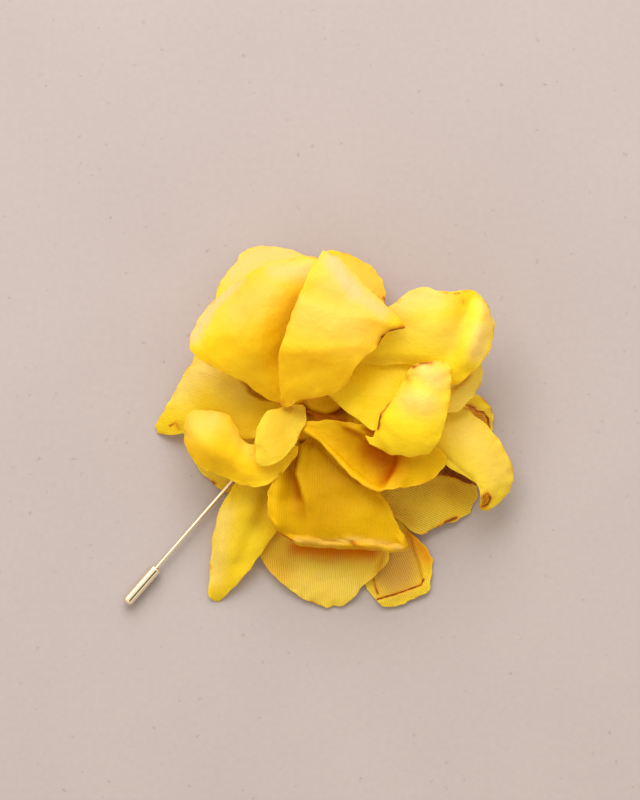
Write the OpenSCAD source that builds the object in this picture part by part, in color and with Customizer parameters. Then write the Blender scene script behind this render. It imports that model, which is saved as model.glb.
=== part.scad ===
/* [Cloth] */
// Thickness of a petal's wall
cloth_t = 1; // [0.9:0.05:1.1]
// Cells along a big petal
cells_long = 14; // [12:1:16]
// Cells across a big petal
cells_wide = 10; // [8:1:12]

/* [Backing] */
// Radius of the round pad that the petals are sewn to
backing_r = 12; // [10:0.5:12]
// Thickness of that pad
backing_t = 1.3; // [1:0.1:1.3]
// Height of its underside
backing_z = 3.5; // [3.5:0.05:3.55]

/* [Pin] */
// Radius of the wire
wire_r = 0.5; // [0.45:0.05:0.5]
// Height of the wire's axis at the middle of the clutch
wire_z = 2; // [1.95:0.05:2]
// Where the wire's full round starts, from the middle of the clutch
wire_from = 5.7; // [5.7:0.1:6]
// Where the wire goes over to its flat end, under the petals
wire_to = 34; // [33:0.5:36]
// Where the middle of the soldered plate lies
plate_at = 54; // [52:0.5:55]
// Radius of the soldered plate
plate_r = 5; // [4:0.5:6]
// Thickness of the soldered plate
plate_t = 0.7; // [0.6:0.05:0.75]
// Width of the wire's flat end
flat_w = 2.2; // [1.8:0.1:2.4]
// Reach of the point past the middle of the clutch
point_reach = 2.5; // [2:0.1:2.8]

/* [Clutch] */
// Radius of the clutch
clutch_r = 1.35; // [1.25:0.05:1.4]
// Length of the clutch
clutch_len = 11; // [10:0.5:11]
// Radius of its bore
bore_r = 0.56; // [0.56:0.01:0.6]
// Depth of its bore
bore_deep = 8.8; // [8.5:0.1:9]

/* [Hidden] */
yellow = [0.98, 0.8, 0.2];
sheer = [0.85, 0.68, 0.25];
gold = [0.85, 0.74, 0.52];
smooth = 48;

// Middle of the backing, seen from above
backing_at = [-2.9, 3.4];
// Middle of the clutch, seen from above, and the way from it to the flower
clutch_at = [-41.3, -36.9];
pin_heading = 48.8;
pin_rise = 0.8;

// Columns of a petal's sections. A section runs across the petal, reach is its distance from
// the root, right and left are where its ends lie beside the petal's line, mid is the height of
// its middle, tilt is how much higher its left end is, crown is how far its ends lie below.
REACH = 0;
RIGHT = 1;
LEFT = 2;
MID = 3;
TILT = 4;
CROWN = 5;

// Columns of a petal's folds: a fold runs from one place to another, as reach and side
FROM = 0;
TO = 1;
WIDE = 2;
RISE = 3;

// A smooth curve through four values, between the second and the third
function through(a, b, c, d, f) =
    b + f * ((c - a) / 2 + f * (a - 2.5 * b + 2 * c - d / 2 + f * (1.5 * (b - c) + (d - a) / 2)));

// One section between the rows of a table, at a place counted in rows
function section_at(rows, place) =
    let (last = len(rows) - 1, i = min(floor(place), last - 1), f = place - i)
    through(rows[max(i - 1, 0)], rows[i], rows[i + 1], rows[min(i + 2, last)], f);

// Distance from a point to the stretch between two others
function off_line(p, a, b) =
    let (way = b - a, f = max(0, min(1, (p - a) * way / (way * way)))) norm(p - a - f * way);

// How far the folds lift a point of a petal
function fold_rise(folds, p) =
    len(folds) == 0 ? 0
    : [for (f = folds) f[RISE] * exp(-pow(off_line(p, f[FROM], f[TO]) / f[WIDE], 2))]
      * [for (f = folds) 1];

// A point of a petal's upper face: side runs from -1 at its right edge to 1 at its left
function cloth_point(rows, folds, place, side) =
    let (
        s = section_at(rows, place),
        across = (s[RIGHT] * (1 - side) + s[LEFT] * (1 + side)) / 2,
        level = s[MID] + s[TILT] * side / 2 - s[CROWN] * side * side
    )
    [s[REACH], across, level + fold_rise(folds, [s[REACH], across])];

function unit(v) = v / norm(v);

// A petal's wall: its upper face is a grid over the sections, its lower face lies cloth_t under it
module petal(root, heading, sections, folds = [], long = cells_long, wide = cells_wide) {
    rows = len(sections) - 1;
    top = [for (i = [0:long]) [for (j = [0:wide])
        cloth_point(sections, folds, i * rows / long, 2 * j / wide - 1)]];
    under = [for (i = [0:long]) [for (j = [0:wide])
        let (
            along = top[min(i + 1, long)][j] - top[max(i - 1, 0)][j],
            across = top[i][min(j + 1, wide)] - top[i][max(j - 1, 0)]
        )
        top[i][j] - cloth_t * unit(cross(along, across))]];
    points = concat([for (line = top) for (p = line) p], [for (line = under) for (p = line) p]);
    step = wide + 1;
    shift = step * (long + 1);
    cells = [for (i = [0:long - 1]) for (j = [0:wide - 1]) i * step + j];
    faces = concat(
        [for (a = cells) [a, a + 1, a + step]],
        [for (a = cells) [a + 1, a + step + 1, a + step]],
        [for (a = cells) [shift + a, shift + a + step, shift + a + 1]],
        [for (a = cells) [shift + a + 1, shift + a + step, shift + a + step + 1]],
        [for (j = [0:wide - 1], f = edge(j, j + 1, shift)) f],
        [for (j = [0:wide - 1], f = edge(shift - j - 1, shift - j - 2, shift)) f],
        [for (i = [0:long - 1], f = edge((i + 1) * step, i * step, shift)) f],
        [for (i = [0:long - 1], f = edge(i * step + wide, (i + 1) * step + wide, shift)) f]
    );
    translate([root.x, root.y, 0])
        rotate(heading)
            polyhedron(points, faces);
}

// Two faces that close the wall along one stretch of its edge
function edge(a, b, shift) = [[a, shift + a, b], [b, shift + a, shift + b]];

module small_petal(root, heading, sections, folds = []) {
    petal(root, heading, sections, folds, long = 9, wide = 6);
}

module petal_top_front() {
    color(yellow)
        petal([-4.3, 4.4], 73.6, [
            // reach, right, left, mid, tilt, crown
            [-1, 1, 4.4, 16.6, 0, 0],
            [2.5, -1.8, 5.7, 18.8, 1, 0.4],
            [6, -7.2, 6.9, 22.4, 1, 1],
            [10, -9.2, 8.1, 26, 0.6, 1.4],
            [13.6, -10, 8.3, 28.4, 0, 1.6],
            [17.5, -12.4, 8.2, 29, 0, 2.2],
            [23.3, -14.8, 7.8, 29.2, 0, 2.8],
            [25.2, -18.4, 7.6, 29.1, -0.5, 3],
            [27.4, -14.2, 7.3, 28.6, 0, 2.5],
            [30.4, -8.7, 6.8, 27.8, 0, 1.6],
            [33.5, -2.9, 6.3, 26.4, 0, 0.8],
            [36.4, 2, 5.2, 25, 0, 0.2]
        ]);
}

module petal_top_left() {
    color(yellow)
        petal([-6.7, 5.1], 112.6, [
            // reach, right, left, mid, tilt, crown
            [-0.6, -2.8, -1, 5.6, 0, 0],
            [-0.4, -2.8, -1, 9.4, 0, 0],
            [0, -3, 0.4, 12.8, 0, 0],
            [4, -5.5, 4.8, 15.4, 0, 1],
            [9, -7.5, 7.7, 19.4, 1, 2],
            [14, -10, 12.4, 23.5, 2, 3],
            [19, -13.5, 16, 25, 2, 3.5],
            [22, -16, 16.2, 25, 1, 3.5],
            [25, -18, 13.5, 24, 0, 3],
            [28, -19.5, 9.4, 22.2, 0, 2.4],
            [30, -17.5, 3.8, 20.4, 0, 1.4],
            [31.2, -12.5, -0.5, 19, 0, 0.6],
            [32, -9.5, -5, 18, 0, 0.2]
        ], [
            [[22.7, -7.7], [16.6, -4], 3, -1.8]
        ]);
}

module petal_top_back_left() {
    color(yellow)
        petal([-7.8, 9.7], 101, [
            // reach, right, left, mid, tilt, crown
            [0, -3.5, 3.5, 6.3, 0, 0],
            [7, -7, 7.5, 9, 0, 0.5],
            [15, -9.6, 11, 10.4, 0, 1],
            [21, -11, 12.3, 10.2, 0, 1.5],
            [25, -11.6, 11.2, 8.8, 0, 1.5],
            [28, -11, 8.5, 6.6, 0, 1.5],
            [30.3, -8, 6, 4.2, 0, 1],
            [32, -4, 4.2, 2.3, 0, 0.5],
            [32.9, -1, 2.6, 1.1, 0, 0]
        ]);
}

module petal_top_back_right() {
    color(yellow)
        petal([2.7, 10.9], 75.5, [
            // reach, right, left, mid, tilt, crown
            [-0.4, -2, 2, 5.9, 0, 0],
            [0.3, -2.8, 2.8, 7.8, 0, 0],
            [7, -6, 6.5, 10.5, 0, 0.5],
            [14, -8, 8.5, 12, 0, 1],
            [20, -8, 9, 12, 0, 1.5],
            [24, -6.9, 9, 10.8, 0, 1.5],
            [26.7, -4.8, 8.9, 8.8, 0, 1.3],
            [28.3, -1.6, 8.6, 6.4, 0, 1],
            [29.3, 2.5, 7, 4.4, 0, 0.3]
        ]);
}

module petal_upper_right() {
    color(yellow)
        petal([5, 11.8], 22.8, [
            // reach, right, left, mid, tilt, crown
            [0, -1, 3, 16.6, 0, 0],
            [5, 0.8, 7, 19, 1, 0.7],
            [10, -1.4, 9.5, 21.3, 2, 1.2],
            [16, -3.8, 10.3, 23.6, 3, 1.5],
            [20, -7.5, 11.4, 24.4, 5, 2],
            [23.5, -12.3, 11.8, 24.9, 6, 3],
            [27, -11.6, 10.8, 25.8, 4, 3],
            [30, -10.5, 8.4, 25.6, 2, 2.5],
            [33, -9, 7.7, 24.5, 1, 2.2],
            [35.5, -6.4, 6.7, 22.8, 0, 1.8],
            [37.2, -3.8, 4.6, 20.8, 0, 1],
            [37.8, -1.6, 1.4, 19.6, 0, 0.3]
        ], [
            [[33.4, 2.1], [25.6, -5], 1.8, -2]
        ]);
}

module petal_inner_right() {
    color(yellow)
        petal([0.8, 11.3], -29.7, [
            // reach, right, left, mid, tilt, crown
            [-0.2, -2.9, -1.3, 5.6, 0, 0],
            [-0.2, -2.9, -1.3, 9.4, 0, 0],
            [0.2, -2.9, 1.6, 12.4, 0, 0],
            [4, -2.9, 7, 15, 0, 0.7],
            [8.3, -3.9, 10, 17.4, 0, 1],
            [13, -4.4, 13.5, 18.8, 0, 1.2],
            [16, -4.6, 14.5, 19.2, 0, 1],
            [18, -3.8, 14, 19, 0, 0.9],
            [19.5, -0.5, 11, 18.6, 0, 0.5]
        ], long = 9, wide = 8);
}

module petal_right_cup() {
    color(yellow)
        petal([9.6, -2.6], 28.5, [
            // reach, right, left, mid, tilt, crown
            [1.3, -2.2, -0.2, 18, 0, 0],
            [3, -4.6, -1.2, 19.2, 0, 0.3],
            [5, -7.2, 0.6, 21.4, 0, 1.2],
            [7.5, -8.9, 3, 23.4, 0, 2.4],
            [10, -10, 4, 24.8, 0, 3],
            [12.5, -10.8, 5.1, 25.6, 0, 3.4],
            [15, -9.8, 6.2, 26, 0, 3.2],
            [17.5, -7.9, 7.6, 26.1, 0, 2.4],
            [20, -5.2, 8.4, 25.8, 0, 1.6],
            [22.2, -2.5, 8, 25, 0, 1],
            [24.2, 0.8, 7, 24.2, 0, 0.6],
            [26.2, 3.8, 5.7, 23.4, 0, 0.2]
        ]);
}

module petal_right_tuck() {
    color(yellow)
        small_petal([10.8, 6.2], 12.1, [
            // reach, right, left, mid, tilt, crown
            [-0.3, -1.6, 1.6, 9, 0, 0],
            [-0.1, -1.8, 1.8, 11.4, 0, 0],
            [0.7, -2.5, 2.5, 13.1, 0, 0],
            [6, -4, 4, 14.2, 0, 0.3],
            [12, -5.5, 5, 15, 0, 0.5],
            [17, -6.8, 5.5, 15.4, 0, 0.8],
            [21, -7, 5.5, 15.4, 0, 0.8],
            [24, -4.8, 5.5, 15, 0, 0.8],
            [26.5, -2.8, 5, 14.4, 0, 0.6],
            [28.1, 0.4, 3, 13.8, 0, 0.2]
        ]);
}

module petal_right_curl() {
    color(sheer)
        small_petal([7.8, 4.4], -2.9, [
            // reach, right, left, mid, tilt, crown
            [0, -2.5, 2.5, 7, 0, 0],
            [8, -3, 3, 8.4, 0, 0.2],
            [16, -4, 4, 8.4, 0, 0.3],
            [22, -5, 5, 7.6, 0, 0.4],
            [26, -5.5, 5.2, 5.8, 0, 0.5],
            [29, -5.5, 4.4, 4, 0, 0.5],
            [31.3, -5, 3.2, 2.4, 0, 0.3],
            [33, -3.4, -0.2, 1.1, 0, 0]
        ]);
}

module petal_right_lower() {
    color(yellow)
        petal([8.9, 0.7], -20.7, [
            // reach, right, left, mid, tilt, crown
            [-1.9, -1.8, 0.4, 5.8, 0, 0],
            [-1.9, -1.8, 0.6, 7.8, 0, 0],
            [-1.1, -2.1, 1.6, 9.4, 0, 0],
            [1, -2.5, 2.6, 10, 0, 0],
            [6, -3, 4, 10.3, 0, 0.5],
            [12, -3, 6.5, 11.2, 0, 0.8],
            [17, -1.6, 9.3, 12, 0, 1.2],
            [21.5, -0.6, 11.9, 12.6, 0, 1.6],
            [25, -0.9, 11.6, 12.8, 0, 1.8],
            [29, -2.1, 10.1, 12.4, 0, 1.8],
            [32, -3.6, 8.3, 11.6, 0, 1.6],
            [33.8, -8.4, 7, 10.6, 0, 1.6],
            [35.4, -8.4, 5.6, 9.6, 0, 1.4],
            [37.2, -5.8, 3.6, 8.6, 0, 1],
            [38.9, -2, 0.2, 7.6, 0, 0.2]
        ]);
}

module petal_center_trough() {
    color(yellow)
        petal([-3.2, 0], -17.7, [
            // reach, right, left, mid, tilt, crown
            [-0.2, -1, 1, 9, 0, 0],
            [-0.2, -1, 1, 12, 0, 0],
            [0.4, -1.2, 1.4, 14.5, 0, 0],
            [4, -2.2, 2.8, 15, 0, -0.3],
            [8.5, -4.6, 4, 15, 0, -1],
            [12.5, -7, 4.4, 14, 0, -2.2],
            [16, -8.4, 5, 13, 0, -3.6],
            [19.3, -9.2, 5.6, 13, 0, -4],
            [23, -7.9, 5.8, 15, 0, -2.2],
            [27.5, -5.8, 5.6, 16, 0, -1.2],
            [31.5, -3.1, 4.6, 16, 0, -0.8],
            [33.6, 0.4, 3, 15.6, 0, -0.3]
        ]);
}

module petal_center_under() {
    color(yellow)
        small_petal([-3.9, -0.7], -41.5, [
            // reach, right, left, mid, tilt, crown
            [0, -2, 2, 6.6, 0, 0],
            [4, -4.5, 2.5, 7.6, 0, 0.2],
            [8, -5.5, 3, 8, 0, 0.3],
            [12, -4.5, 3, 8, 0, 0.3],
            [15, -2, 2, 7.6, 0, 0]
        ]);
}

module petal_bottom_center() {
    color(yellow)
        petal([0.8, -2.6], -93.2, [
            // reach, right, left, mid, tilt, crown
            [0, -2.8, 1.6, 9.6, 0, 0],
            [3.5, -6, 4.5, 10.4, 0, 0],
            [7, -8.2, 9, 11.2, 0, 0],
            [10, -10.9, 12.2, 11.8, 0, 0.2],
            [13.5, -11.8, 15.6, 12.4, 0, 0.3],
            [17, -11.7, 17.6, 12.8, 0, 0.5],
            [20, -10.9, 19.2, 12.8, 0, 0.8],
            [22.6, -8.6, 20.8, 12.2, 0, 0.8],
            [24.2, -6.2, 21.6, 11.4, 0, 0.5],
            [25.4, -3.5, 20, 10.6, 0, 0.2]
        ], [
            [[9.5, -8.6], [19.5, -9.8], 1.5, 1.7],
            [[8.5, -4.6], [15, -6.6], 1.6, -1.8],
            [[23.6, -5], [23.6, 9], 1.3, 1.2],
            [[23.6, 9], [23, 19], 1.3, 1.2]
        ]);
}

module petal_lower_sheer() {
    color(sheer)
        petal([6.1, -4.9], -27.6, [
            // reach, right, left, mid, tilt, crown
            [0, -2.5, 2.5, 6.4, 0, 0],
            [6, -4.5, 4, 6.6, 0, 0.2],
            [12, -6.5, 4.5, 6.2, 0, 0.4],
            [17, -8.5, 4.2, 5.6, 0, 0.6],
            [21, -9.6, 4, 4.9, 0, 0.8],
            [24.3, -10.1, 4.9, 4.2, 0, 0.8],
            [26.5, -8.2, 5.5, 3.6, 0, 0.6],
            [28.8, -5, 6, 3, 0, 0.5],
            [31, -3.1, 6.5, 2.1, 0, 0.4],
            [32.8, 0, 4.4, 1.1, 0, 0]
        ], long = 10, wide = 7);
}

module petal_bottom_sheer() {
    color(sheer)
        petal([-0.1, -9.6], -85.9, [
            // reach, right, left, mid, tilt, crown
            [-3, -2.5, 1.8, 6, 0, 0],
            [0, -3, 3, 6.3, 0, 0],
            [6, -7, 8, 6, 0, 0.3],
            [12, -12, 13, 5.2, 0, 0.6],
            [17, -14.8, 15.4, 4.6, 0, 0.8],
            [20.5, -14.5, 15.4, 4.2, 0, 1],
            [23.3, -13.1, 14.5, 3.8, 0, 1],
            [26, -10.6, 11.5, 3.4, 0, 0.6],
            [28.4, -8, 8.4, 2.9, 0, 0.4],
            [30.4, -5.3, 6.6, 2.2, 0, 0.3],
            [32.5, -0.2, 3.4, 1.1, 0, 0]
        ], [
            [[14, -6], [18, 6], 3, 0.6],
            [[22, -8], [24, 6], 2.5, -0.7]
        ], long = 10, wide = 8);
}

module petal_bottom_fold() {
    color(yellow)
        petal([4.5, -6.8], -65.5, [
            // reach, right, left, mid, tilt, crown
            [0, -2, 2, 5, 0, 0],
            [7, -2.5, 3, 4, 0, 0],
            [14, -3.5, 5, 2.9, 0, 0],
            [19, -5, 6.8, 2.1, 0, 0],
            [23, -6.5, 7.9, 1.4, 0, 0],
            [27, -7, 9.7, 1.1, 0, 0],
            [31, -6.7, 10.1, 1.02, 0, 0],
            [34, -6, 8.5, 1.02, 0, 0],
            [36.3, -4.8, 7.3, 1.02, 0, 0],
            [37.7, -2.5, 5.5, 1.1, 0, 0]
        ], [
            [[23, 7], [30, 9.2], 1.3, 1.6],
            [[30, 9.2], [36, 5.5], 1.3, 1.6],
            [[36, 5.5], [36, -3.5], 1.1, 0.9]
        ], long = 12, wide = 9);
}

module petal_lower_left() {
    color(yellow)
        petal([-10.8, -5.9], -111.7, [
            // reach, right, left, mid, tilt, crown
            [-1.4, -1.5, 1.5, 6, 0, 0],
            [0, -2.5, 2.5, 7.2, 0, 0],
            [5, -4.2, 4.5, 7.6, 0, 0.3],
            [9.4, -5.5, 6.5, 7.8, 0, 0.6],
            [13, -6, 8, 7.8, 0, 0.8],
            [17, -6.4, 7.8, 7.4, 0, 1],
            [20.5, -6.1, 6.9, 6.8, 0, 1],
            [24, -5.6, 6, 6, 0, 1],
            [28, -4.2, 5, 4.8, 0, 0.8],
            [31.5, -3.2, 3.7, 3.6, 0, 0.6],
            [34.5, -2.3, 2.6, 2.6, 0, 0.4],
            [36.5, -1.2, 1.7, 1.6, 0, 0.2],
            [37.3, -0.1, 1, 1.1, 0, 0]
        ], [
            [[12, 3], [27, 2.6], 1.8, -0.9]
        ], long = 12, wide = 7);
}

module petal_left_curl() {
    color(yellow)
        petal([-4.8, -5.9], 169.7, [
            // reach, right, left, mid, tilt, crown
            [0, -1.5, 0.8, 12.9, 0, 0],
            [2.5, -1.5, 5, 13.3, 0, 0],
            [5, -1.5, 8.3, 14, 0, 0],
            [8.5, -0.5, 9.8, 14.2, 0, 0.8],
            [12, 0.2, 9.7, 14.8, 0, 1.3],
            [14.5, -2.3, 9, 15.2, 0, 2],
            [17, -5.2, 8.5, 16.2, 0, 2.6],
            [19.6, -6.1, 8, 17, 0, 3],
            [22.3, -5.7, 7, 16.8, 0, 2.8],
            [24.5, -5.5, 5.3, 15.8, 0, 2.2],
            [26, -5, 3, 14.4, 0, 1.2],
            [27, -3.2, 0.4, 13, 0, 0.2]
        ]);
}

module petal_heart_left() {
    color(yellow)
        small_petal([-2.9, 3.4], -132.5, [
            // reach, right, left, mid, tilt, crown
            [-0.6, -2, -0.9, 5.6, 0, 0],
            [-0.6, -2, -0.8, 10, 0, 0],
            [-0.4, -2.2, -0.5, 13.4, 0, 0],
            [1.2, -3.8, 1.2, 14.4, 0, 0.2],
            [3.5, -5.3, 2, 16.2, 0, 0.4],
            [6.5, -6.8, 2.9, 17.4, 0, 0.6],
            [10, -6.2, 3.5, 18.2, 0, 0.8],
            [12.6, -4.6, 3.1, 18, 0, 0.6],
            [15, -2.3, 1.9, 17.2, 0, 0.3],
            [16.5, -0.7, 0.5, 16.4, 0, 0]
        ]);
}

module petal_heart_dark() {
    color(yellow)
        small_petal([-4.3, 3.9], 7.1, [
            // reach, right, left, mid, tilt, crown
            [1.8, -1.2, 1.2, 5.6, 0, 0],
            [1.8, -1.2, 1.4, 8.4, 0, 0],
            [2.4, -1.4, 1.9, 10.4, 0, 0],
            [4, -1.6, 2.3, 10.8, 0, 0],
            [6, -1.8, 2.6, 11, 0, 0.1],
            [8.3, -1.4, 1.4, 11.2, 0, 0],
            [9.4, -0.9, 0.2, 11.2, 0, 0]
        ]);
}

module petal_left_back() {
    color(yellow)
        petal([-9, 6.2], -167.1, [
            // reach, right, left, mid, tilt, crown
            [-0.4, -2, 3, 5.9, 0, 0],
            [0.3, -2.8, 4, 7.5, 0, 0],
            [5, -7, 7.4, 9, 0, 0.5],
            [10, -11, 7, 10, 0, 1],
            [14, -14, 6, 10, 0, 1.5],
            [17, -14.2, 3.5, 9.2, 0, 1.8],
            [20, -11.3, 3, 7.8, 0, 1.6],
            [23, -7.9, 2.6, 6, 0, 1.2],
            [25.5, -5.2, 2.3, 4.4, 0, 0.8],
            [28, -2.4, 1.8, 2.6, 0, 0.4],
            [29.7, -0.6, 1, 1.1, 0, 0]
        ]);
}

module petal_left_sheer() {
    color(sheer)
        small_petal([-16, -0.7], -130.9, [
            // reach, right, left, mid, tilt, crown
            [-4, -2, 2, 6.6, 0, 0],
            [0, -3, 2.8, 6.2, 0, 0],
            [5, -5, 3.2, 3.6, 0, 0],
            [9, -6, 3.4, 1.5, 0, 0],
            [11.2, -6.2, 4.4, 1.06, 0, 0],
            [13, -6.2, 6.4, 1.02, 0, 0],
            [14.3, -4.6, 6.3, 1.02, 0, 0],
            [15.1, -1, 4, 1.02, 0, 0]
        ]);
}

// The round pad on the hidden back
module backing() {
    color(sheer)
        translate([backing_at.x, backing_at.y, backing_z])
            cylinder(h = backing_t, r = backing_r, $fn = smooth);
}

// Lays a piece along the pin: its own Z runs from the clutch to the flower
module along_pin() {
    translate([clutch_at.x, clutch_at.y, wire_z])
        rotate([0, 0, pin_heading])
            rotate([0, 90 - pin_rise, 0])
                children();
}

// Wire, point, flat end and plate, soldered into one
module pin() {
    plate_x = plate_at * cos(pin_heading);
    plate_y = plate_at * sin(pin_heading);
    plate_z = wire_z + plate_at * tan(pin_rise);
    flat_t = wire_r * 1.6;
    sunk = 0.1;
    color(gold) {
        along_pin() {
            translate([0, 0, wire_from])
                cylinder(h = wire_to - wire_from + sunk, r = wire_r, $fn = smooth);
            translate([0, 0, -point_reach])
                cylinder(h = wire_from + point_reach, r1 = wire_r / 5, r2 = wire_r, $fn = smooth);
            translate([-flat_t / 2, -flat_w / 2, wire_to])
                cube([flat_t, flat_w, plate_at - wire_to]);
        }
        translate([clutch_at.x + plate_x, clutch_at.y + plate_y, plate_z - sunk / 2])
            cylinder(h = plate_t, r = plate_r, $fn = smooth);
    }
}

// Half of the clutch's outline, with its round ends and its bore from the flower's side
module clutch_outline() {
    end_r = clutch_r * 0.6;
    difference() {
        hull() {
            translate([clutch_r - end_r, clutch_len / 2 - end_r])
                circle(end_r, $fn = 32);
            translate([clutch_r - end_r, -clutch_len / 2 + end_r])
                circle(end_r, $fn = 32);
            translate([0, -clutch_len / 2])
                square([clutch_r / 4, clutch_len]);
        }
        translate([-2 * clutch_r, -clutch_len])
            square([2 * clutch_r, 2 * clutch_len]);
        translate([-1, clutch_len / 2 - bore_deep])
            square([bore_r + 1, bore_deep + 1]);
    }
}

module clutch() {
    color(gold)
        along_pin()
            rotate_extrude($fn = smooth)
                clutch_outline();
}

petal_top_front();
petal_top_left();
petal_top_back_left();
petal_top_back_right();
petal_upper_right();
petal_inner_right();
petal_right_cup();
petal_right_tuck();
petal_right_curl();
petal_right_lower();
petal_center_trough();
petal_center_under();
petal_bottom_center();
petal_lower_sheer();
petal_bottom_sheer();
petal_bottom_fold();
petal_lower_left();
petal_left_curl();
petal_heart_left();
petal_heart_dark();
petal_left_back();
petal_left_sheer();
backing();
pin();
clutch();
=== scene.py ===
import bpy
import math
import numpy as np
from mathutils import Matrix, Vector


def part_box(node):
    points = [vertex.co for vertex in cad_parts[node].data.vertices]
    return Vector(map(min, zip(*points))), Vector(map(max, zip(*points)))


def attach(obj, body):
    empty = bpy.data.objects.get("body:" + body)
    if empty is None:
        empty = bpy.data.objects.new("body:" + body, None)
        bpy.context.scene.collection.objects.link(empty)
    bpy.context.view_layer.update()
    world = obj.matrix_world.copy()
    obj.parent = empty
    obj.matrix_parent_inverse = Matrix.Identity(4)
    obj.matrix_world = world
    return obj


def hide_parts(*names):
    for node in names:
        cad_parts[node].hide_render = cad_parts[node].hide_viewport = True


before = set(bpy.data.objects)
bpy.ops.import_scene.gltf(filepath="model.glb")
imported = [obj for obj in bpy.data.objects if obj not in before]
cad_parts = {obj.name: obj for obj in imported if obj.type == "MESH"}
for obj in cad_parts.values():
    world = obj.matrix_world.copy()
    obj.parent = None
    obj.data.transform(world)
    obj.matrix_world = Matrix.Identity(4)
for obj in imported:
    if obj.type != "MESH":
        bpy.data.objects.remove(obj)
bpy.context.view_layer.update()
mm = 0.001
print("frame loaded:", len(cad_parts), "nodes")

# The flower lies on its back and is seen from straight above. All sizes in the tables are in
# millimetres, in the brooch's own frame: X to the right, Y towards the flower's top, Z up.

cloth = {
    "wall": 0.3,            # thickness of the stiffened chiffon
    "underTop": 0.5,        # the cloth runs this far below the upper face of the plain solid
    "rimWidth": 0.4,        # width of the heat-sealed rim
    "uvSpan": 50.0,         # millimetres of cloth across the whole UV map
    "ragged": 0.22,         # size of the waves in the uneven edge
    "cutWave": 3.2,         # their length
    "cutReach": 1.6,        # how far in from the edge they reach
    "swellWave": 11,
    "ruffleWave": 4.2,
    "ruffleReach": 2.0,
    "rollWave": 5,
    "rollReach": 2.2,       # how far from its stops a roll runs on along the rim
    "lipEdge": 0.12,        # widths of the slopes where lips and shades end on their right
    "shadeEdge": 0.1,
    "leastCut": 10.0,       # smallest width or length of a cut
    "leastFill": 0.31,      # smallest share of its rectangle that a cut fills
}


def selectOnly(piece):
    bpy.ops.object.select_all(action="DESELECT")
    piece.select_set(True)
    bpy.context.view_layer.objects.active = piece


def applyModifiers(piece):
    selectOnly(piece)
    for modifier in list(piece.modifiers):
        bpy.ops.object.modifier_apply(modifier=modifier.name)


# A smooth curve through the rows of a table, read at places counted in rows
def readRows(rows, places):
    last = len(rows) - 1
    first = np.minimum(places.astype(int), last - 1)
    f = (places - first)[:, None]
    a = rows[np.maximum(first - 1, 0)]
    b = rows[first]
    c = rows[first + 1]
    d = rows[np.minimum(first + 2, last)]
    bend = a - 2.5 * b + 2 * c - d / 2
    return b + f * ((c - a) / 2 + f * (bend + f * (1.5 * (b - c) + (d - a) / 2)))


# Distance from each point to a line through a few stops
def offLine(points, stops):
    nearest = np.full(len(points), 1e9)
    for start, end in zip(stops[:-1], stops[1:]):
        way = np.subtract(end, start)
        f = np.clip((points - start) @ way / (way @ way + 1e-9), 0, 1)
        gap = points - start - f[:, None] * way
        nearest = np.minimum(nearest, np.hypot(gap[:, 0], gap[:, 1]))
    return nearest


# 1 to the left of a line through a few stops, 0 to its right, with a short slope between
def leftOf(points, stops, slope):
    nearest = np.full(len(points), 1e9)
    left = np.zeros(len(points))
    for start, end in zip(stops[:-1], stops[1:]):
        way = np.subtract(end, start)
        gap = offLine(points, (start, end))
        across = way[0] * (points[:, 1] - start[1]) - way[1] * (points[:, 0] - start[0])
        left = np.where(gap < nearest, across / np.hypot(*way), left)
        nearest = np.minimum(nearest, gap)
    return 1 / (1 + np.exp(-np.clip(left / slope, -30, 30)))


# Soft irregular waves of about one size, between -1 and 1
def ripples(points, size, seed):
    dice = np.random.default_rng(seed)
    total = np.zeros(len(points))
    for turn in dice.uniform(0, 2 * math.pi, 7):
        length = size * dice.uniform(0.7, 1.5)
        way = np.array([math.cos(turn), math.sin(turn)]) * 2 * math.pi / length
        total += np.sin(points @ way + dice.uniform(0, 2 * math.pi))
    return total / 3.5


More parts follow.
